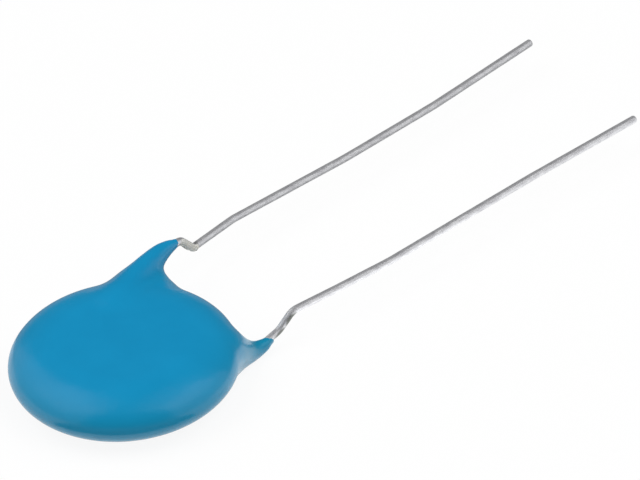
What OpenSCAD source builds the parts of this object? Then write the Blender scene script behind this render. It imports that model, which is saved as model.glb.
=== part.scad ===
// Ceramic disc capacitor: a metallised ceramic disc between two soldered wires, dipped in epoxy.
// The disc lies flat on its lower face. The leads run along +X, the upper lead on the +Y side.
// The origin is on the axis of the disc, on the face that it rests on. Lengths are in millimetres.

/* [Ceramic] */
// Diameter of the ceramic disc
ceramic_d = 14.2; // [13.4:0.1:17]
// Thickness of the ceramic disc
ceramic_t = 2.2; // [1.4:0.1:3.4]
// Bare ring that each electrode leaves free at the edge of the ceramic
electrode_inset = 0.45; // [0.2:0.05:0.6]
// Thickness of the fired metal of an electrode
electrode_t = 0.02; // [0.01:0.01:0.05]

/* [Coating of the disc] */
// Coating round the edge of the ceramic
rim_coat = 1.02; // [0.9:0.01:1.6]
// Coating over the crown of each wire where it lies on the disc
crown_coat = 0.43; // [0.3:0.01:1]
// Width of the rounded rim, from the flat of the face out to the edge
rim_w = 3.75; // [2.4:0.05:4.6]
// Least coating round a wire on its way from the solder to its horn
sleeve_coat = 0.13; // [0.12:0.01:0.2]

/* [Leads] */
// Diameter of the tinned wire
wire_d = 0.55; // [0.45:0.05:0.65]
// Distance between the two leads where they leave the coating
lead_pitch = 9.3; // [8:0.1:10]
// How far the middle between the leads lies from the middle of the disc
pitch_shift = 0.7; // [0:0.1:0.9]
// From the middle of the disc to the cut end of the upper lead
upper_reach = 43.9; // [30:0.1:60]
// From the middle of the disc to the cut end of the lower lead
lower_reach = 43.2; // [30:0.1:60]
// How far the upper lead lifts off the disc before it kinks down
upper_lift = 0.28; // [0:0.01:0.6]
// Radius inside the bend at the top of the upper kink
upper_top_bend = 0.55; // [0.3:0.05:0.8]
// Radius inside the bend at the foot of the upper kink
upper_foot_bend = 0.165; // [0.1:0.005:0.4]
// Radius inside the bends of the lower kink
lower_bend = 0.825; // [0.3:0.025:1]
// Size of the broken edge at each cut end
cut_edge = 0.04; // [0.01:0.01:0.08]

/* [Solder] */
// Length of the solder along the wire
solder_l = 4.1; // [3:0.1:4.5]
// Width of the solder across the wire
solder_w = 1.5; // [1.3:0.05:1.6]
// Solder between the wire and the electrode
solder_film = 0.05; // [0.02:0.01:0.1]

/* [Horns of coating] */
// How far the upper horn reaches past the edge of the disc
upper_horn = 1.5; // [1:0.05:1.8]
// How far the lower horn reaches past the edge of the disc
lower_horn = 1.6; // [1:0.05:2]
// Coating on the wire at the tip of the upper horn
upper_tip_coat = 0.23; // [0.18:0.01:0.3]
// Coating on the wire at the tip of the lower horn
lower_tip_coat = 0.2; // [0.18:0.01:0.3]
// How far the tip of the upper horn lies outward and upward of its wire
upper_tip_drift = 0.17; // [0:0.01:0.2]
// How far the tip of the lower horn sags below its wire
lower_tip_sag = 0.1; // [0:0.01:0.12]
// Coating on the wire at the root of the upper horn
upper_root_coat = 0.18; // [0.15:0.01:0.6]
// Coating on the wire at the root of the lower horn
lower_root_coat = 0.45; // [0.3:0.01:0.6]
// Width of the hollow curve between the upper horn and the disc
upper_fillet = 2.9; // [1.4:0.05:3.2]
// Width of the hollow curve between the lower horn and the disc
lower_fillet = 1.8; // [1:0.05:2]
// Size of the facets that the coating is drawn with
facet = 0.42; // [0.4:0.01:0.6]

/* [Hidden] */

// Heights of the layers, measured from the middle plane of the disc
wire_r = wire_d / 2;
electrode_r = ceramic_d / 2 - electrode_inset;
electrode_top = ceramic_t / 2 + electrode_t;
wire_z = electrode_top + solder_film + wire_r;
body_r = ceramic_d / 2 + rim_coat;
body_h = wire_z + wire_r + crown_coat;
flat_r = body_r - rim_w;

// Where each lead crosses the disc
upper_y = pitch_shift + lead_pitch / 2;
lower_y = pitch_shift - lead_pitch / 2;

// A bend is a little fatter than the straight wire and grips it, so that both become one solid
bend_swell = 0.01;
bend_grip = 0.04;

// Radius of the centre line in each kink, where a lead eases out of line, and in its gentle sway
upper_top_r = wire_r + upper_top_bend;
upper_foot_r = wire_r + upper_foot_bend;
lower_kink_r = wire_r + lower_bend;
ease_r = 3;
sway_r = 15;

// The wire starts inside its solder, which climbs this share of the wire's diameter
solder_cover = 0.25;
solder_climb = 0.75;
wire_start = solder_cover - solder_l / 2;

// The root of each horn lies this far inside the edge of the disc
upper_root = 2.12;
lower_root = 1.75;

// Width of the hollow curve beside the coating that wraps each wire
sleeve_fillet = 0.3;

// The upper lead lifts off at the root of its horn. It kinks down and then reaches the middle
// plane at these distances past the edge of the disc, each this far out to the side.
upper_kink_top = 2.13;
upper_kink_foot = 3.59;
upper_jog_top = 0.66;
upper_jog_foot = 1.16;

// Past the edge of the disc the lower lead starts to rise, then kinks up after this share
// of the way, and reaches the middle plane this far out to the side
lower_kink_start = 1;
lower_kink_middle = 2.54;
lower_kink_foot = 3.83;
lower_rise = 0.28;
lower_jog_foot = 0.05;

// Sway of each free lead: [share of its length, drift across it in wire diameters]
upper_sway = [[0.127, 0.89], [0.44, 0.33], [0.7, 0.6], [1, 1.86]];
lower_sway = [[0.117, -0.53], [0.268, -1.05], [0.69, -0.73], [1, -0.93]];

function mix(a, b, t) = a + (b - a) * t;
function unit(v) = v / norm(v);
function total(list) = [for (item = list) 1] * list;
function share(t) = min(1, max(0, t));

// ---------------------------------------------------------------- paths of the leads

// The corners of a free lead, from the end of its kink to its cut end
function swaying(from, reach, sway) = [
    for (s = sway) [mix(from.x, reach, s[0]), from.y + s[1] * wire_d, from.z]
];

upper_foot = [body_r + upper_kink_foot, upper_y + upper_jog_foot, 0];
upper_path = concat(
    [
        [wire_start, upper_y, wire_z],
        [body_r - upper_root, upper_y, wire_z],
        [body_r + upper_kink_top, upper_y + upper_jog_top, wire_z + upper_lift],
        upper_foot
    ],
    swaying(upper_foot, upper_reach, upper_sway)
);
upper_bends = [ease_r, upper_top_r, upper_foot_r, ease_r, sway_r, sway_r];

lower_foot = [body_r + lower_kink_foot, lower_y - lower_jog_foot, 0];
lower_path = concat(
    [
        [wire_start, lower_y, -wire_z],
        [body_r + lower_kink_start, lower_y, -wire_z],
        [body_r + lower_kink_middle, lower_y, -wire_z * (1 - lower_rise)],
        lower_foot
    ],
    swaying(lower_foot, lower_reach, lower_sway)
);
lower_bends = [lower_kink_r, lower_kink_r, lower_kink_r, ease_r, sway_r, sway_r];

// The angle that the path turns through at a corner, and how much of each side the bend takes
function turn(path, at) = acos(unit(path[at] - path[at - 1]) * unit(path[at + 1] - path[at]));
function trim(path, bends, at) =
    at == 0 || at == len(path) - 1 ? 0 : bends[at - 1] * tan(turn(path, at) / 2);

// ---------------------------------------------------------------- wire

// Puts its children in a frame with its x and y axes along the unit vectors given
module framed(origin, x_axis, y_axis) {
    z_axis = cross(x_axis, y_axis);
    multmatrix([
        for (row = [0:2]) [x_axis[row], y_axis[row], z_axis[row], origin[row]]
    ])
        children();
}

// Any unit vector square to the one given
function square_to(v) = unit(cross(abs(v.z) < 0.9 ? [0, 0, 1] : [1, 0, 0], v));

// The straight wire between two points, with an edge broken at its far end
module straight_wire(from, to, edge = 0) {
    length = norm(to - from);
    framed(from, unit(to - from), square_to(to - from))
        rotate([0, 90, 0])
            rotate_extrude()
                polygon([
                    [0, 0],
                    [wire_r, 0],
                    [wire_r, length - edge],
                    [wire_r - edge, length],
                    [0, length]
                ]);
}

// The bend of a wire round the inside of a corner
module bent_wire(corner, along, away, angle, radius) {
    inward = unit(away - along * (along * away));
    start = corner - along * radius * tan(angle / 2);
    framed(start + inward * radius, -inward, along)
        rotate_extrude(angle = angle)
            translate([radius, 0]) circle(d = wire_d + bend_swell);
}

// A lead along a path, with a bend at each inner corner
module lead(path, bends) {
    last = len(path) - 1;
    for (at = [1:last]) {
        along = unit(path[at] - path[at - 1]);
        grip_before = at == 1 ? 0 : bend_grip;
        grip_after = at == last ? 0 : bend_grip;
        straight_wire(
            path[at - 1] + along * (trim(path, bends, at - 1) - grip_before),
            path[at] - along * (trim(path, bends, at) - grip_after),
            at == last ? cut_edge : 0
        );
        if (at < last)
            bent_wire(path[at], along, unit(path[at + 1] - path[at]), turn(path, at), bends[at - 1]);
    }
}

// ---------------------------------------------------------------- solder

// Half the section of a joint: a low block with a hollow side that runs out on the electrode.
// It leaves the crown of the wire bare.
module solder_section() {
    height = solder_film + solder_climb * wire_d;
    difference() {
        square([solder_w / 2, height]);
        translate([solder_w / 2, height]) circle(r = height);
    }
}

module solder_joint() {
    length = solder_l - solder_w;
    for (end = [-1, 1])
        translate([end * length / 2, 0, 0])
            rotate([0, 0, end * 90 - 180])
                rotate_extrude(angle = 180) solder_section();
    rotate([90, 0, 90])
        translate([0, 0, -length / 2])
            linear_extrude(length) {
                solder_section();
                mirror([1, 0]) solder_section();
            }
}

// ---------------------------------------------------------------- surface of the coating

// How far a point lies outside the disc with its rounded rim; less than 0 is inside
function outside_disc(p) =
    body_h * (norm([max(0, norm([p.x, p.y]) - flat_r) / rim_w, p.z / body_h]) - 1);

// How far a point lies outside a horn that tapers along its wire
function outside_horn(p, root, tip, root_r, tip_r) =
    let (along = share((p.x - root.x) / (tip.x - root.x)))
    norm(p - mix(root, tip, along)) - mix(tip_r, root_r, sqrt(1 - along));

// The smaller of two distances, with a hollow curve of the given width where they meet
function merged(a, b, width) =
    let (t = share(0.5 + (b - a) / (2 * width)))
    mix(b, a, t) - width * t * (1 - t);

upper_tip_r = wire_r + upper_tip_coat;
lower_tip_r = wire_r + lower_tip_coat;
upper_slope = (upper_path[2] - upper_path[1]) / (upper_path[2].x - upper_path[1].x);
upper_horn_root = upper_path[1];
upper_horn_tip = upper_horn_root + upper_slope * (upper_root + upper_horn - upper_tip_r)
    + [0, upper_tip_drift, upper_tip_drift];
lower_horn_root = [body_r - lower_root, lower_y, -wire_z];
lower_horn_tip = [body_r + lower_horn - lower_tip_r, lower_y, -wire_z - lower_tip_sag];
sleeve_r = wire_r + sleeve_coat;

// How far a point lies outside the disc and both horns, which run into each other
function outside_dip(p) =
    let (
        upper = outside_horn(
            p, upper_horn_root, upper_horn_tip, wire_r + upper_root_coat, upper_tip_r
        ),
        lower = outside_horn(
            p, lower_horn_root, lower_horn_tip, wire_r + lower_root_coat, lower_tip_r
        )
    )
    merged(merged(outside_disc(p), upper, upper_fillet), lower, lower_fillet);

// How far a point lies outside the coating, which also wraps each wire on its way to its horn
// and is flat below
function outside_coating(p) =
    let (
        upper = outside_horn(p, upper_path[0], upper_horn_root, sleeve_r, sleeve_r),
        lower = outside_horn(p, lower_path[0], lower_horn_root, sleeve_r, sleeve_r),
        body = merged(merged(outside_dip(p), upper, sleeve_fillet), lower, sleeve_fillet)
    )
    max(body, -p.z - body_h);

// The slope of a function at a point, and the point moved along it to where the function is zero
function slope(outside, p, reach) = [
    for (axis = [[reach, 0, 0], [0, reach, 0], [0, 0, reach]])
        (outside(p + axis) - outside(p - axis)) / (2 * reach)
];
function settled(outside, p, reach) =
    let (s = slope(outside, p, reach))
    p - s * outside(p) / (s * s);

// The closed surface on which a function of a point is zero. Space is cut into cubes, every cube
// that the surface crosses gets one point on it, and each crossed edge joins the points round it.
module level_surface(outside, low, high, step) {
    count = [for (axis = [0:2]) ceil((high[axis] - low[axis]) / step) + 1];
    stride = [count.y * count.z, count.z, 1];
    corners = [
        for (i = [0:count.x - 1], j = [0:count.y - 1], k = [0:count.z - 1])
            low + step * [i, j, k]
    ];
    value = [for (p = corners) outside(p)];
    edges = [
        for (axis = [0:2])
            let (
                along = stride[axis],
                side = stride[(axis + 1) % 3],
                up = stride[(axis + 2) % 3]
            )
            each [for (start = [0, side, up, side + up]) [start, start + along]]
    ];
    final_cube = len(corners) - 1 - total(stride);
    crossings = [
        for (cube = [0:final_cube]) [
            for (edge = edges)
                let (a = cube + edge[0], b = cube + edge[1])
                if ((value[a] < 0) != (value[b] < 0))
                    mix(corners[a], corners[b], value[a] / (value[a] - value[b]))
        ]
    ];
    crossed = [for (found = crossings) len(found) > 0 ? 1 : 0];
    number = [
        for (cube = 0, n = 0; cube <= final_cube; n = n + crossed[cube], cube = cube + 1) n
    ];
    middles = [for (found = crossings) if (len(found) > 0) total(found) / len(found)];
    points = [for (p = middles) settled(outside, settled(outside, p, step / 20), step / 20)];
    faces = [
        for (axis = [0:2])
            let (
                along = stride[axis],
                side = stride[(axis + 1) % 3],
                up = stride[(axis + 2) % 3]
            )
            for (a = [side + up:final_cube])
                if ((value[a] < 0) != (value[a + along] < 0))
                    let (
                        ring = [for (cube = [a, a - side, a - side - up, a - up]) number[cube]],
                        turned = value[a] < 0 ? [ring[3], ring[2], ring[1], ring[0]] : ring
                    )
                    each [
                        [turned[0], turned[1], turned[2]],
                        [turned[0], turned[2], turned[3]]
                    ]
    ];
    polyhedron(points, faces);
}

// ---------------------------------------------------------------- sub-parts

// Everything is drawn about the middle plane of the disc and stands on its lower face
module raised() {
    translate([0, 0, body_h]) children();
}

module ceramic_disc() {
    color("Beige")
        raised() cylinder(d = ceramic_d, h = ceramic_t, center = true);
}

module upper_electrode() {
    color("LightGray")
        raised()
            translate([0, 0, ceramic_t / 2]) cylinder(r = electrode_r, h = electrode_t);
}

module lower_electrode() {
    color("LightGray")
        raised()
            translate([0, 0, -electrode_top]) cylinder(r = electrode_r, h = electrode_t);
}

module upper_lead() {
    color("Silver")
        raised() lead(upper_path, upper_bends);
}

module lower_lead() {
    color("Silver")
        raised() lead(lower_path, lower_bends);
}

// The solder with its wire still in it
module upper_joint() {
    raised()
        translate([0, upper_y, electrode_top]) solder_joint();
}

module lower_joint() {
    raised()
        translate([0, lower_y, -electrode_top])
            rotate([180, 0, 0]) solder_joint();
}

module upper_solder() {
    color("DarkGray")
        difference() {
            upper_joint();
            upper_lead();
        }
}

module lower_solder() {
    color("DarkGray")
        difference() {
            lower_joint();
            lower_lead();
        }
}

module epoxy_coating() {
    margin = 2 * facet;
    color("#1b8dbf")
        difference() {
            raised()
                level_surface(
                    function (p) outside_coating(p),
                    [-body_r - margin, -body_r - margin, -body_h - margin],
                    [body_r + upper_horn + lower_horn, body_r + margin, body_h + margin + wire_d],
                    facet
                );
            ceramic_disc();
            upper_electrode();
            lower_electrode();
            upper_joint();
            lower_joint();
            upper_lead();
            lower_lead();
        }
}

epoxy_coating();
ceramic_disc();
upper_electrode();
lower_electrode();
upper_solder();
lower_solder();
upper_lead();
lower_lead();
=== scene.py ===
"""Dipped ceramic disc capacitor in a plain white studio.

Lengths on the part and at the camera are in millimetres until a mesh is made. The floor, the lamps and
the cards round the studio are placed in metres.
"""

import math

import bpy
import numpy as np
from mathutils import Matrix, Vector

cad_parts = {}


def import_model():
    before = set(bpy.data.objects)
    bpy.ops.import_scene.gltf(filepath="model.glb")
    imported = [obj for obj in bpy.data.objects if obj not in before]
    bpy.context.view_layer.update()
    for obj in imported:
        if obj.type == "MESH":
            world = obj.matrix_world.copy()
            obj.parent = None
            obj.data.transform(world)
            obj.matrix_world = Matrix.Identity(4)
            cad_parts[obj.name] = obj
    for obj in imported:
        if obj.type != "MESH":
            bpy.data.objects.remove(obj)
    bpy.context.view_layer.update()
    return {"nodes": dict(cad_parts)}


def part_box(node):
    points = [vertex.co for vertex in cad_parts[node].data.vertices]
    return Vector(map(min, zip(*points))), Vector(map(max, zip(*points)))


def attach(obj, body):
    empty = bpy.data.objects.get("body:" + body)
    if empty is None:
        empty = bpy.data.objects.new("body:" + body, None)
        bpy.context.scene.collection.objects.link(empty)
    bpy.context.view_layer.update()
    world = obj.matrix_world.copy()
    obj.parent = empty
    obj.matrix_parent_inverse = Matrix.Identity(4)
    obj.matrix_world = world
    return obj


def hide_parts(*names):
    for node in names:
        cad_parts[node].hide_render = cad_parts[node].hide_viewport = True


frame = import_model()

MM = 0.001

# ---------------------------------------------------------------- sizes

ceramic_low, ceramic_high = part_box("ceramic_disc")
MIDDLE_Z = (ceramic_low.z + ceramic_high.z) / 2 / MM
# All but the horns and the web have the sizes of the solids. The coated disc: its radius, half its
# thickness and the width of its rounded rim
BODY_R, BODY_H, RIM_W = 8.12, 2.15, 3.75
FLAT_R = BODY_R - RIM_W
WIRE_D = 0.55
WIRE_R = WIRE_D / 2
# How far the wire's skin lies inside the solid's, and its waves: the height and the width of each
WIRE_SKIN, WIRE_WAVES = 0.002, [(0.003, 1.6), (0.002, 0.45)]
# The rounding of a cut end: its length, and the share of the wire's radius that its face has
CUT_ROUNDING, CUT_FACE = 0.04, 0.86
# The hidden stretch of each wire: its height above or below the middle plane, and where it starts
WIRE_Z = 1.445
WIRE_START = -1.8
# How far to the side each wire lies there
UPPER_Y, LOWER_Y = 5.35, -3.95


def swaying(foot, reach, sway):
    """The corners of a free lead: shares of its length, and drift across it in wire diameters."""
    return [(foot[0] + (reach - foot[0]) * s, foot[1] + drift * WIRE_D, 0) for s, drift in sway]


# Corners of each lead about the middle plane, and the radius of the bend at each inner corner
UPPER_FOOT = (BODY_R + 3.59, UPPER_Y + 1.16, 0)
UPPER_PATH = [
    (WIRE_START, UPPER_Y, WIRE_Z),
    (BODY_R - 2.12, UPPER_Y, WIRE_Z),
    (BODY_R + 2.13, UPPER_Y + 0.66, WIRE_Z + 0.28),
    UPPER_FOOT,
    *swaying(UPPER_FOOT, 43.9, [(0.127, 0.89), (0.44, 0.33), (0.7, 0.6), (1, 1.86)]),
]
UPPER_BENDS = [3, 0.825, 0.44, 3, 15, 15]

LOWER_FOOT = (BODY_R + 3.83, LOWER_Y - 0.05, 0)
LOWER_PATH = [
    (WIRE_START, LOWER_Y, -WIRE_Z),
    (BODY_R + 1, LOWER_Y, -WIRE_Z),
    (BODY_R + 2.54, LOWER_Y, -WIRE_Z * 0.72),
    LOWER_FOOT,
    *swaying(LOWER_FOOT, 43.2, [(0.117, -0.53), (0.268, -1.05), (0.69, -0.73), (1, -0.93)]),
]
LOWER_BENDS = [1.1, 1.1, 1.1, 3, 15, 15]
# How far apart the points along each wire are
WIRE_STEP = 0.08

# Stains at the kinks: place along the wire, half the length, side in degrees, spread round it and depth
UPPER_STAINS = [(14.55, 0.25, 60, 1.2, 0.5)]
LOWER_STAINS = [(12.35, 0.62, 193, 0.75, 0.85), (13.65, 0.68, 193, 0.85, 0.9)]

# Resin on the upper kink: its reach before and past it, the side it hangs on in degrees, and its soft ends
RESIN_BEFORE, RESIN_PAST, RESIN_SIDE, RESIN_ENDS = 0.35, 0.65, 226, 0.5
# How deep it starts inside the wire, and how thick its film and its beads are
RESIN_ROOT, RESIN_FILM, RESIN_BEADS = 0.025, 0.035, 0.11

# Horns of coating about the middle plane, finer than in the solids: the width of the hollow curve where
# they leave the disc, and stations along them with x, y, z and radius
UPPER_HORN = (1.03, [
    (2.41, 4.19, 0.82, 1.42), (5.43, 5.01, 1.66, 0.75), (8.9, 5.99, 1.67, 0.56),
    (9.4, 6.0, 1.7, 0.44), (9.8, 5.98, 1.7, 0.32),
])
LOWER_HORN = (1.4, [
    (5.42, -3.94, -0.95, 1.15), (6.39, -3.75, -1.0, 1.22), (8.8, -3.95, -1.58, 0.55),
    (9.3, -4.02, -1.48, 0.44), (9.72, -4.0, -1.38, 0.32),
])
# A web fills the corner between the upper horn and the rim: its hollow width, two ends and radius
UPPER_WEB = (2.5, (5.83, 5.83, 0.28), (6.71, 4.77, -0.17), 0.62)
# The skin over the hidden stretch of each wire: its end, its radius and the hollow curve beside it
SLEEVE_END, SLEEVE_R, SLEEVE_HOLLOW = 6, 0.36, 0.3
# The space to search for the coating: past the disc all round, past the tips and above the crests
COATING_MARGIN, HORN_REACH, HORN_RISE = 0.3, 2.4, 0.9
COATING_STEP = 0.12
# Waves of the dipped skin, with the height, width and seed of each
SKIN_WAVES = [(0.008, 2.6, 1), (0.003, 0.9, 2)]
# How far the skin is drawn in to leave room for them, and how far on the flat and close above it
SKIN_INWARD, FLAT_INWARD, FLAT_BAND = 0.006, 0.004, 0.02


# ---------------------------------------------------------------- meshes

def new_piece(name, points, faces):
    """A smooth mesh from points in mm about the middle plane, riding on the body."""
    mesh = bpy.data.meshes.new(name)
    spots = (np.asarray(points, float) + (0, 0, MIDDLE_Z)) * MM
    mesh.from_pydata(spots.tolist(), [], np.asarray(faces, dtype=object).tolist())
    mesh.shade_smooth()
    piece = bpy.data.objects.new(name, mesh)
    bpy.context.scene.collection.objects.link(piece)
    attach(piece, "root")
    return piece


def carry(piece, name, kind, values):
    """Gives every point of a mesh a value that its material can read."""
    layer = piece.data.attributes.new(name, kind, "POINT")
    key = "vector" if kind == "FLOAT_VECTOR" else "value"
    layer.data.foreach_set(key, np.asarray(values, np.float32).ravel())


def lattice_noise(points, size, seed):
    """Smooth noise from -1 to 1 at each point, with features about size across."""
    cells = 17
    table = np.random.default_rng(seed).uniform(-1, 1, (cells, cells, cells))
    at = np.asarray(points, float) / size + 1000
    cell = np.floor(at).astype(int)
    part = at - cell
    part = part * part * (3 - 2 * part)
    value = 0
    for corner in np.ndindex(2, 2, 2):
        weight = np.prod(np.where(corner, part, 1 - part), axis=-1)
        index = (cell + corner) % cells
        value = value + weight * table[index[..., 0], index[..., 1], index[..., 2]]
    return value


# ---------------------------------------------------------------- coating

def merged(a, b, width):
    """The smaller of two distances, with a hollow curve of the given width where they meet."""
    t = np.clip(0.5 + (b - a) / (2 * width), 0, 1)
    return b + (a - b) * t - width * t * (1 - t)


def outside_horn(p, stations):
    """Distance from a tapering tube through a few stations, joined by smooth curves."""
    stations = np.array(stations)
    places, shape = stations[:, 0], stations[:, 1:]
    lean = np.gradient(shape, places, axis=0)
    x = np.clip(p[..., 0], places[0], places[-1])
    at = np.clip(np.searchsorted(places, x, side="right") - 1, 0, len(places) - 2)
    gap = (places[at + 1] - places[at])[..., None]
    t = (x - places[at])[..., None] / gap
    here = (1 + 2 * t) * (1 - t) ** 2 * shape[at] + t * (1 - t) ** 2 * gap * lean[at]
    here += t ** 2 * (3 - 2 * t) * shape[at + 1] - t ** 2 * (1 - t) * gap * lean[at + 1]
    away = np.stack([p[..., 0] - x, p[..., 1] - here[..., 0], p[..., 2] - here[..., 1]], -1)
    return np.linalg.norm(away, axis=-1) - here[..., 2]


def outside_rod(p, start, end, radius):
    """Distance from a straight rod with round ends."""
    start, length = np.array(start), np.subtract(end, start)
    t = np.clip((p - start) @ length / (length @ length), 0, 1)
    return np.linalg.norm(p - start - t[..., None] * length, axis=-1) - radius


def outside_coating(p):
    """Below zero inside the coating: the disc, the horns, the web and the sleeves, flat where it rests."""
    ring = np.maximum(0, np.hypot(p[..., 0], p[..., 1]) - FLAT_R) / RIM_W
    body = BODY_H * (np.hypot(ring, p[..., 2] / BODY_H) - 1)
    body = merged(body, outside_horn(p, UPPER_HORN[1]), UPPER_HORN[0])
    body = merged(body, outside_rod(p, *UPPER_WEB[1:]), UPPER_WEB[0])
    body = merged(body, outside_horn(p, LOWER_HORN[1]), LOWER_HORN[0])
    for start in (UPPER_PATH[0], LOWER_PATH[0]):
        sleeve = outside_rod(p, start, (SLEEVE_END, *start[1:]), SLEEVE_R)
        body = merged(body, sleeve, SLEEVE_HOLLOW)
    return np.maximum(body, -p[..., 2] - BODY_H)


def slope(outside, p, reach):
    """How outside changes in x, y and z at each point."""
    steps = np.eye(3) * reach
    return np.stack([(outside(p + s) - outside(p - s)) / (2 * reach) for s in steps], -1)


def level_surface(outside, low, high, step):
    """Closed mesh on which outside is zero: one point in each cube of a grid that it crosses."""
    low = np.array(low, float)
    count = np.ceil((np.array(high) - low) / step).astype(int) + 1
    grid = np.stack(np.meshgrid(*[np.arange(n) for n in count], indexing="ij"), -1) * step + low
    value = outside(grid)
    total, hits, quads = np.zeros((*(count - 1), 3)), np.zeros(count - 1), []
    for axis in range(3):
        near, far = [slice(None)] * 3, [slice(None)] * 3
        near[axis], far[axis] = slice(0, -1), slice(1, None)
        near, far = tuple(near), tuple(far)
        edge = np.argwhere((value[near] < 0) != (value[far] < 0))
        a, b = value[near][tuple(edge.T)], value[far][tuple(edge.T)]
        spot = grid[near][tuple(edge.T)]
        spot = spot + (grid[far][tuple(edge.T)] - spot) * (a / (a - b))[:, None]
        side, up = [k for k in range(3) if k != axis]
        ring = []
        for back_side, back_up in ((1, 1), (0, 1), (0, 0), (1, 0)):
            cube = edge.copy()
            cube[:, side] -= back_side
            cube[:, up] -= back_up
            np.add.at(total, tuple(cube.T), spot)
            np.add.at(hits, tuple(cube.T), 1)
            ring.append(cube)
        ring = np.stack(ring, 1)
        turned = (a < 0) if axis != 1 else (a >= 0)
        quads.append(np.where(turned[:, None, None], ring, ring[:, ::-1]))
    used = hits > 0
    number = np.full(hits.shape, -1)
    number[used] = np.arange(used.sum())
    points = total[used] / hits[used][:, None]
    for _ in range(3):
        s = slope(outside, points, step / 20)
        points = points - s * (outside(points) / (s * s).sum(-1))[:, None]
    corners = np.concatenate(quads)
    return points, number[corners[..., 0], corners[..., 1], corners[..., 2]]


def coating():
    """The coating with the slight waves of a dipped skin, and smooth where it rests."""
    margin = COATING_MARGIN
    points, faces = level_surface(
        outside_coating,
        (-BODY_R - margin, -BODY_R - margin, -BODY_H - margin),
        (BODY_R + HORN_REACH, BODY_R + margin, BODY_H + HORN_RISE),
        COATING_STEP,
    )
    away = slope(outside_coating, points, 0.02)
    away /= np.linalg.norm(away, axis=-1, keepdims=True)
    wave = sum(height * lattice_noise(points, size, seed) for height, size, seed in SKIN_WAVES)
    resting = points[:, 2] < FLAT_BAND - BODY_H
    wave = np.where(resting, -FLAT_INWARD, wave - SKIN_INWARD)
    return new_piece("coating", points + away * wave[:, None], faces)


# ---------------------------------------------------------------- wires

def rounded(path, bends, spacing):
    """Points along a path whose corners are bent to the given radii."""
    path = [np.array(p, float) for p in path]
    line = [path[0]]
    for at in range(1, len(path) - 1):
        before = path[at] - path[at - 1]
        after = path[at + 1] - path[at]
        before, after = before / np.linalg.norm(before), after / np.linalg.norm(after)
        angle = math.acos(min(1, before @ after))
        radius = bends[at - 1]
        inward = after - before * (before @ after)
        inward /= np.linalg.norm(inward)
        start = path[at] - before * radius * math.tan(angle / 2)
        centre = start + inward * radius
        steps = max(3, math.ceil(radius * angle / spacing))
        for k in range(steps + 1):
            turn = angle * k / steps
            line.append(centre + radius * (before * math.sin(turn) - inward * math.cos(turn)))
    line.append(path[-1])
    filled = [line[0]]
    for a, b in zip(line, line[1:]):
        pieces = max(1, math.ceil(np.linalg.norm(b - a) / spacing))
        filled += [a + (b - a) * (k + 1) / pieces for k in range(pieces)]
    return np.array(filled)


def sweep(line):
    """For each point of a line: its distance along it, and two directions across it without twist."""
    along = np.concatenate([[0], np.cumsum(np.linalg.norm(np.diff(line, axis=0), axis=1))])
    ahead = np.gradient(line, along, axis=0)
    ahead /= np.linalg.norm(ahead, axis=1, keepdims=True)
    across = np.zeros_like(ahead)
    across[0] = np.cross((0, 0, 1), ahead[0])
    for k in range(1, len(line)):
        across[k] = across[k - 1] - ahead[k] * (across[k - 1] @ ahead[k])
        across[k] /= np.linalg.norm(across[k])
    return along, across, np.cross(ahead, across)


def tube(name, line, radius, stain, sides=40):
    """A closed tube along a line. radius and stain take the distance along it and the angle round it."""
    along, across, up = sweep(line)
    s, a = np.meshgrid(along, np.arange(sides) * 2 * math.pi / sides, indexing="ij")
    r = radius(s, a)
    side, rise = r * np.cos(a), r * np.sin(a)
    points = line[:, None] + side[..., None] * across[:, None] + rise[..., None] * up[:, None]
    points = np.concatenate([points.reshape(-1, 3), line[[0, -1]]])
    index = np.arange(s.size).reshape(s.shape)
    ring = np.roll(index, -1, axis=1)
    faces = np.stack([index[:-1], ring[:-1], ring[1:], index[1:]], -1).reshape(-1, 4).tolist()
    faces += [(index[0, k], s.size, ring[0, k]) for k in range(sides)]
    faces += [(ring[-1, k], s.size + 1, index[-1, k]) for k in range(sides)]
    piece = new_piece(name, points, faces)
    lay = np.stack([s, side, rise], -1).reshape(-1, 3)
    ends = [[along[0], 0, 0], [along[-1], 0, 0]]
    carry(piece, "lay", "FLOAT_VECTOR", np.concatenate([lay, ends]))
    carry(piece, "stain", "FLOAT", np.concatenate([stain(s, a).ravel(), [0, 0]]))
    return piece


def soft_step(t):
    """Runs smoothly from 0 to 1 as t does."""
    t = np.clip(t, 0, 1)
    return t * t * (3 - 2 * t)


def round_wire(s, a, size):
    """Places on a wire for noise: stretched along it, and joined up round it."""
    return np.stack([s / size, np.cos(a) * WIRE_R / size, np.sin(a) * WIRE_R / size], -1)


def wire(name, line, patches, seed):
    """A drawn wire with a slightly uneven skin, a rounded cut end and stained patches."""
    length = np.linalg.norm(np.diff(line, axis=0), axis=1).sum()

    def radius(s, a):
        uneven = 0
        for number, (height, size) in enumerate(WIRE_WAVES):
            uneven = uneven + height * lattice_noise(round_wire(s, a, size), 1, seed + number)
        edge = np.sqrt(np.clip((length - s) / CUT_ROUNDING, 0, 1))
        return (WIRE_R - WIRE_SKIN + uneven) * (CUT_FACE + (1 - CUT_FACE) * edge)

    def stain(s, a):
        rough = 0.35 * lattice_noise(round_wire(s, a, 0.28), 1, seed + len(WIRE_WAVES))
        dark = np.zeros_like(s)
        for place, half, side, spread, depth in patches:
            turn = np.abs((a - math.radians(side) + math.pi) % (2 * math.pi) - math.pi)
            near = 1.3 - np.hypot((s - place) / half, turn / spread)
            dark = np.maximum(dark, depth * soft_step(near * 1.6 + rough))
        return dark

    return tube(name, line, radius, stain)


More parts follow.
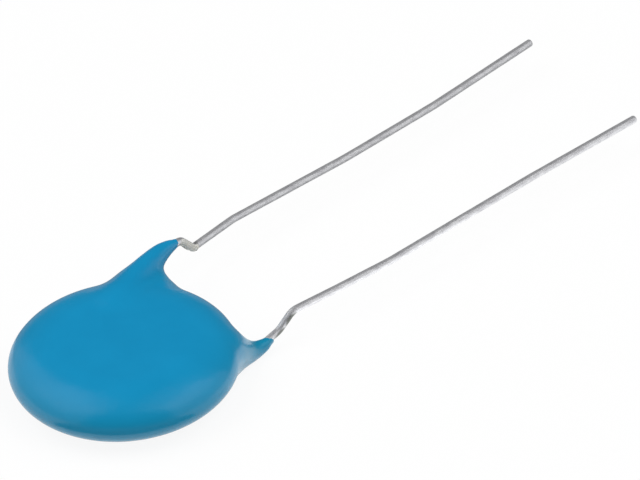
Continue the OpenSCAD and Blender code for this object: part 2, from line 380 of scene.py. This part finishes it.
def resin_film(line):
    """Clear resin that has run down the kink of the upper wire, in uneven beads on its lower side."""
    first, last = UPPER_PATH[2][0] - RESIN_BEFORE, UPPER_PATH[3][0] + RESIN_PAST
    line = line[(line[:, 0] > first) & (line[:, 0] < last)]
    length = np.linalg.norm(np.diff(line, axis=0), axis=1).sum()
    hanging = math.radians(RESIN_SIDE)

    def radius(s, a):
        bead = 0.5 + 0.5 * lattice_noise(round_wire(s, a, 0.42), 1, 31)
        bead += 0.3 * lattice_noise(round_wire(s, a, 0.16), 1, 32)
        below = np.clip(0.35 + 0.65 * np.cos(a - hanging), 0, 1)
        ends = soft_step(np.minimum(s, length - s) / RESIN_ENDS)
        thick = RESIN_FILM + RESIN_BEADS * np.clip(bead, 0, 1)
        return WIRE_R - RESIN_ROOT + thick * below * ends

    return tube("resin_film", line, radius, lambda s, a: 0 * s, 48)


# ---------------------------------------------------------------- materials

def material(name):
    """A new material with one main shader, and that shader."""
    made = bpy.data.materials.new(name)
    made.use_nodes = True
    nodes = made.node_tree.nodes
    nodes.clear()
    out = nodes.new("ShaderNodeOutputMaterial")
    shader = nodes.new("ShaderNodeBsdfPrincipled")
    made.node_tree.links.new(shader.outputs["BSDF"], out.inputs["Surface"])
    return made, shader


def node(made, kind, **inputs):
    """A new node. A name that is a socket is set or linked, and any other name is a property."""
    new = made.node_tree.nodes.new(kind)
    for key, value in inputs.items():
        key = key.replace("_", " ") if key.replace("_", " ") in new.inputs else key
        if key in new.inputs:
            if isinstance(value, bpy.types.NodeSocket):
                made.node_tree.links.new(value, new.inputs[key])
            else:
                new.inputs[key].default_value = value
        else:
            setattr(new, key, value)
    return new


def link(made, value, socket):
    """Feeds a value into a socket of a material."""
    made.node_tree.links.new(value, socket)


def grain(made, coords, scale, detail=3, stretch=(1, 1, 1)):
    """Noise from 0 to 1 on coordinates in mm; scale is features per mm."""
    place = node(made, "ShaderNodeMapping", Vector=coords, Scale=stretch)
    made_noise = node(made, "ShaderNodeTexNoise", Vector=place.outputs[0], Scale=scale, Detail=detail)
    return made_noise.outputs["Fac"]


def ramp(made, value, stops):
    """A colour ramp; stops are (place, colour)."""
    made_ramp = node(made, "ShaderNodeValToRGB", Fac=value)
    band = made_ramp.color_ramp
    band.elements[0].position, band.elements[1].position = stops[0][0], stops[-1][0]
    band.elements[0].color = (*stops[0][1], 1)
    band.elements[1].color = (*stops[-1][1], 1)
    for place, colour in stops[1:-1]:
        band.elements.new(place).color = (*colour, 1)
    return made_ramp.outputs["Color"]


def spread(made, value, low, high):
    """A value from 0 to 1 spread over another range."""
    return node(made, "ShaderNodeMapRange", Value=value, To_Min=low, To_Max=high).outputs[0]


def mixed(made, share, first, second):
    """Two colours mixed by a share; the second is a plain colour."""
    made_mix = made.node_tree.nodes.new("ShaderNodeMix")
    made_mix.data_type = "RGBA"
    link(made, share, made_mix.inputs["Factor"])
    link(made, first, made_mix.inputs["A"])
    made_mix.inputs["B"].default_value = (*second, 1)
    return made_mix.outputs["Result"]


def bumped(made, height, distance, strength=1.0, normal=None):
    """A bumpy normal, on top of another one if it is given."""
    extra = {"Normal": normal} if normal is not None else {}
    new = node(made, "ShaderNodeBump", Height=height, Distance=distance, Strength=strength, **extra)
    return new.outputs[0]


def in_mm(made):
    """The object's own coordinates in mm."""
    place = node(made, "ShaderNodeTexCoord").outputs["Object"]
    scale = (1 / MM,) * 3
    return node(made, "ShaderNodeMapping", Vector=place, Scale=scale).outputs[0]


def epoxy():
    """Glossy blue skin, a little greener and darker towards the foot of the rim."""
    made, shader = material("blue_epoxy")
    place = in_mm(made)
    cloud = grain(made, place, 0.35, 4)
    colour = ramp(made, cloud, [(0.3, (0.0035, 0.258, 0.50)), (0.7, (0.0045, 0.276, 0.53))])
    # A greener, darker tint towards the bottom of the part, set by height alone
    height = node(made, "ShaderNodeSeparateXYZ", Vector=place).outputs["Z"]
    low = node(made, "ShaderNodeMapRange", Value=height, From_Min=4.3, From_Max=1.4).outputs[0]
    colour = mixed(made, low, colour, (0.004, 0.242, 0.41))
    link(made, colour, shader.inputs["Base Color"])
    link(made, spread(made, grain(made, place, 2.2, 3), 0.21, 0.27), shader.inputs["Roughness"])
    peel = bumped(made, grain(made, place, 1.5, 2), 0.012 * MM)
    fine = bumped(made, grain(made, place, 14, 2), 0.0012 * MM, normal=peel)
    link(made, fine, shader.inputs["Normal"])
    return made


def tinned():
    """Drawn tinned wire with fine lines along it and dull stains."""
    made, shader = material("tinned_wire")
    lay = node(made, "ShaderNodeAttribute", attribute_name="lay").outputs["Vector"]
    mottle = grain(made, lay, 2.4, 4, (0.6, 1.6, 1.6))
    bright = ramp(made, mottle, [(0.32, (0.66, 0.66, 0.69)), (0.6, (0.86, 0.865, 0.89))])
    stain = node(made, "ShaderNodeAttribute", attribute_name="stain").outputs["Fac"]
    colour = mixed(made, stain, bright, (0.10, 0.11, 0.09))
    link(made, colour, shader.inputs["Base Color"])
    shader.inputs["Metallic"].default_value = 0.72
    link(made, spread(made, mottle, 0.5, 0.34), shader.inputs["Roughness"])
    lines = bumped(made, grain(made, lay, 16, 2, (0.02, 1, 1)), 0.004 * MM)
    dents = bumped(made, grain(made, lay, 1.7, 3, (0.7, 1.5, 1.5)), 0.02 * MM, normal=lines)
    link(made, dents, shader.inputs["Normal"])
    return made


def clear_resin():
    """Cloudy, slightly yellow resin."""
    made, shader = material("clear_resin")
    lay = node(made, "ShaderNodeAttribute", attribute_name="lay").outputs["Vector"]
    cloud = grain(made, lay, 3.5, 4)
    colour = ramp(made, cloud, [(0.35, (0.95, 0.94, 0.83)), (0.65, (1, 1, 0.96))])
    link(made, colour, shader.inputs["Base Color"])
    link(made, spread(made, cloud, 0.5, 0.25), shader.inputs["Roughness"])
    link(made, bumped(made, grain(made, lay, 7, 3), 0.03 * MM), shader.inputs["Normal"])
    shader.inputs["Transmission Weight"].default_value = 0.45
    return made


def plain(name, low, high, scale, rough, metallic=0.0, distance=0.004):
    """A grainy material between two colours."""
    made, shader = material(name)
    place = in_mm(made)
    value = grain(made, place, scale, 4)
    link(made, ramp(made, value, [(0.35, low), (0.65, high)]), shader.inputs["Base Color"])
    link(made, spread(made, value, rough - 0.06, rough + 0.06), shader.inputs["Roughness"])
    link(made, bumped(made, value, distance * MM), shader.inputs["Normal"])
    shader.inputs["Metallic"].default_value = metallic
    return made


def put_on(piece, made):
    """Gives a piece one material."""
    piece.data.materials.clear()
    piece.data.materials.append(made)


# ---------------------------------------------------------------- studio

# Where the camera looks from: azimuth, height above the floor and roll in degrees, and distance
LOOK_AZIMUTH, LOOK_UP, LOOK_ROLL, LOOK_FROM = -36.442, 37.773, 5.622, 1232
# How wide the view is at the disc, and how far right and down of the middle of the view the disc lies
VIEW_WIDE, DISC_RIGHT, DISC_DOWN = 44.417, -13.58, 8.435
SENSOR = 36
# Light from all round that matt surfaces receive, and how much of the floor's look is plain white
SKY_LIGHT, FLOOR_WHITE = 0.21, 0.91
# The two side lamps: height above the floor in degrees, distance, width and power in watts
LAMP_UP, LAMP_FROM, LAMP_SIZE, LAMP_POWER = 57, 0.8, 0.7, 3.9
# How far away the cards stand, and how far the sheets on the floor lie above it
CARD_FROM, APRON_LIFT = 0.9, 0.0001


def look_axes():
    """Directions to the right and up in the picture, with its roll, and back from it."""
    a, e, r = map(math.radians, (LOOK_AZIMUTH, LOOK_UP, LOOK_ROLL))
    back = Vector((math.sin(a) * math.cos(e), -math.cos(a) * math.cos(e), math.sin(e)))
    level = Vector((math.cos(a), math.sin(a), 0))
    rise = back.cross(level)
    right = math.cos(r) * level - math.sin(r) * rise
    up = math.sin(r) * level + math.cos(r) * rise
    return right, up, back


def camera():
    """A long lens from the photograph's side."""
    right, up, back = look_axes()
    centre = Vector((0, 0, MIDDLE_Z))
    aim = centre - right * DISC_RIGHT + up * DISC_DOWN
    eye = centre + back * LOOK_FROM
    towards = (eye - aim).normalized()
    across = up.cross(towards).normalized()
    turn = Matrix((across, towards.cross(across), towards)).transposed()
    data = bpy.data.cameras.new("camera")
    data.sensor_width = SENSOR
    data.lens = SENSOR * LOOK_FROM / VIEW_WIDE
    data.clip_start, data.clip_end = 0.05, 20
    seen = bpy.data.objects.new("camera", data)
    bpy.context.scene.collection.objects.link(seen)
    seen.matrix_world = Matrix.Translation(eye * MM) @ turn.to_4x4()
    bpy.context.scene.camera = seen


def facing(side, height):
    """Direction from the object, side degrees to the right of the camera and height above the floor."""
    _, _, back = look_axes()
    a = math.atan2(back.y, back.x) + math.radians(side)
    e = math.radians(height)
    return Vector((math.cos(a) * math.cos(e), math.sin(a) * math.cos(e), math.sin(e)))


def lamp(name, side):
    """A soft lamp that lights the scene. The cards below stand in for it in reflections."""
    data = bpy.data.lights.new(name, "AREA")
    data.size = LAMP_SIZE
    data.energy = LAMP_POWER
    made = bpy.data.objects.new(name, data)
    bpy.context.scene.collection.objects.link(made)
    place = facing(side, LAMP_UP) * LAMP_FROM
    made.location = place
    made.rotation_mode = "QUATERNION"
    made.rotation_quaternion = place.to_track_quat("Z", "Y")
    made.visible_glossy = False


def white_for_sight(tree, white, others, share):
    """Mixes white into what the camera, reflections and clear materials see, and leaves other light."""
    path = tree.nodes.new("ShaderNodeLightPath")
    seen = path.outputs["Is Camera Ray"]
    for kind in ("Is Glossy Ray", "Is Transmission Ray"):
        either = tree.nodes.new("ShaderNodeMath")
        either.operation = "MAXIMUM"
        tree.links.new(seen, either.inputs[0])
        tree.links.new(path.outputs[kind], either.inputs[1])
        seen = either.outputs[0]
    part = tree.nodes.new("ShaderNodeMath")
    part.operation = "MULTIPLY"
    tree.links.new(seen, part.inputs[0])
    part.inputs[1].default_value = share
    mix = tree.nodes.new("ShaderNodeMixShader")
    tree.links.new(part.outputs[0], mix.inputs["Fac"])
    tree.links.new(others, mix.inputs[1])
    tree.links.new(white, mix.inputs[2])
    return mix.outputs[0]


def floor():
    """A round pale floor, seen as almost white, which keeps the part's shadow."""
    radius, corners = 3.0, 64
    turns = np.linspace(0, 2 * math.pi, corners, endpoint=False)
    mesh = bpy.data.meshes.new("floor")
    ring = [(radius * math.cos(a), radius * math.sin(a), 0) for a in turns]
    mesh.from_pydata(ring, [], [list(range(corners))])
    plate = bpy.data.objects.new("floor", mesh)
    bpy.context.scene.collection.objects.link(plate)
    made = bpy.data.materials.new("floor")
    made.use_nodes = True
    tree = made.node_tree
    tree.nodes.clear()
    matt = tree.nodes.new("ShaderNodeBsdfDiffuse")
    matt.inputs["Color"].default_value = (0.93, 0.93, 0.93, 1)
    glow = tree.nodes.new("ShaderNodeEmission")
    out = tree.nodes.new("ShaderNodeOutputMaterial")
    shown = white_for_sight(tree, glow.outputs[0], matt.outputs[0], FLOOR_WHITE)
    tree.links.new(shown, out.inputs["Surface"])
    made.cycles.emission_sampling = "NONE"
    mesh.materials.append(made)


def world():
    """White to the eye and in reflections, and dim as a light."""
    sky = bpy.data.worlds.new("studio")
    bpy.context.scene.world = sky
    sky.use_nodes = True
    tree = sky.node_tree
    tree.nodes.clear()
    dim = tree.nodes.new("ShaderNodeBackground")
    dim.inputs["Color"].default_value = (SKY_LIGHT, SKY_LIGHT, SKY_LIGHT, 1)
    white = tree.nodes.new("ShaderNodeBackground")
    white.inputs["Color"].default_value = (1, 1, 1, 1)
    out = tree.nodes.new("ShaderNodeOutputWorld")
    shown = white_for_sight(tree, white.outputs[0], dim.outputs[0], 1.0)
    tree.links.new(shown, out.inputs["Surface"])
    sky.cycles.sampling_method = "NONE"


def card(name, sides, heights, shade):
    """A curved card for reflections, between two directions round the part and two heights."""
    reflected(name, shade, sides, heights, lambda side, height: facing(side, height) * CARD_FROM)


def apron(name, sides, reach, shade):
    """A sheet for reflections just above the floor, between two distances from the disc's axis in mm."""
    lift = Vector((0, 0, APRON_LIFT))
    reflected(name, shade, sides, reach, lambda side, far: facing(side, 0) * far * MM + lift)


def reflected(name, shade, sides, ways, place):
    """A glowing sheet that shows only in reflections and through clear materials."""
    wide, tall = 24, 16
    points = [place(s, w) for w in np.linspace(*ways, tall) for s in np.linspace(*sides, wide)]
    faces = [
        (r * wide + c, r * wide + c + 1, (r + 1) * wide + c + 1, (r + 1) * wide + c)
        for r in range(tall - 1)
        for c in range(wide - 1)
    ]
    mesh = bpy.data.meshes.new(name)
    mesh.from_pydata([tuple(p) for p in points], [], faces)
    made = bpy.data.objects.new(name, mesh)
    bpy.context.scene.collection.objects.link(made)
    made.visible_camera = made.visible_diffuse = made.visible_shadow = False
    paint = bpy.data.materials.new(name)
    paint.use_nodes = True
    paint.node_tree.nodes.clear()
    glow = paint.node_tree.nodes.new("ShaderNodeEmission")
    glow.inputs["Color"].default_value = (shade, shade, shade, 1)
    out = paint.node_tree.nodes.new("ShaderNodeOutputMaterial")
    paint.node_tree.links.new(glow.outputs[0], out.inputs["Surface"])
    mesh.materials.append(paint)


# ---------------------------------------------------------------- the scene

upper_line = rounded(UPPER_PATH, UPPER_BENDS, WIRE_STEP)
lower_line = rounded(LOWER_PATH, LOWER_BENDS, WIRE_STEP)

skin = coating()
upper = wire("upper_wire", upper_line, UPPER_STAINS, 11)
lower = wire("lower_wire", lower_line, LOWER_STAINS, 21)
film = resin_film(upper_line)
for piece, replaced in ((skin, "epoxy_coating"), (upper, "upper_lead"), (lower, "lower_lead")):
    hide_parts(replaced)

tin = tinned()
put_on(skin, epoxy())
put_on(upper, tin)
put_on(lower, tin)
put_on(film, clear_resin())

ceramic = plain("ceramic_body", (0.52, 0.40, 0.26), (0.64, 0.52, 0.36), 6, 0.55)
silver = plain("fired_silver", (0.62, 0.61, 0.58), (0.74, 0.73, 0.70), 12, 0.42, 1.0, 0.002)
solder = plain("solder", (0.48, 0.48, 0.50), (0.66, 0.66, 0.68), 3, 0.3, 1.0, 0.01)
for name, made in (
    ("ceramic_disc", ceramic), ("upper_electrode", silver), ("lower_electrode", silver),
    ("upper_solder", solder), ("lower_solder", solder),
):
    put_on(frame["nodes"][name], made)

camera()
world()
floor()
lamp("left_lamp", -95)
lamp("right_lamp", 75)
card("left_card", (-150, -45), (0, 70), 0.52)
card("right_card", (41, 110), (0, 60), 0.64)
card("front_card", (-45, 41), (0, 70), 0.01)
card("back_card", (110, 210), (0, 70), 0.06)
card("top_left_card", (-150, -45), (70, 89.9), 0.15)
card("top_right_card", (-45, 210), (60, 89.9), 0.01)
# Painted shadow: a dark sheet on the floor in front of the part, where the disc shades it, seen only in
# reflections
apron("front_shadow_apron", (-50, 42), (9.8, 800), 0.05)
# Painted reflection: a sheet on the floor at the right, brighter than the white floor, seen only in
# reflections
apron("right_bright_apron", (72, 118), (9.3, 30), 1.3)
# Painted darker reflection: a dim sheet on the floor behind the part, seen only in reflections
apron("back_dim_apron", (122, 225), (9.2, 800), 0.3)

bpy.context.scene.view_settings.view_transform = "Standard"
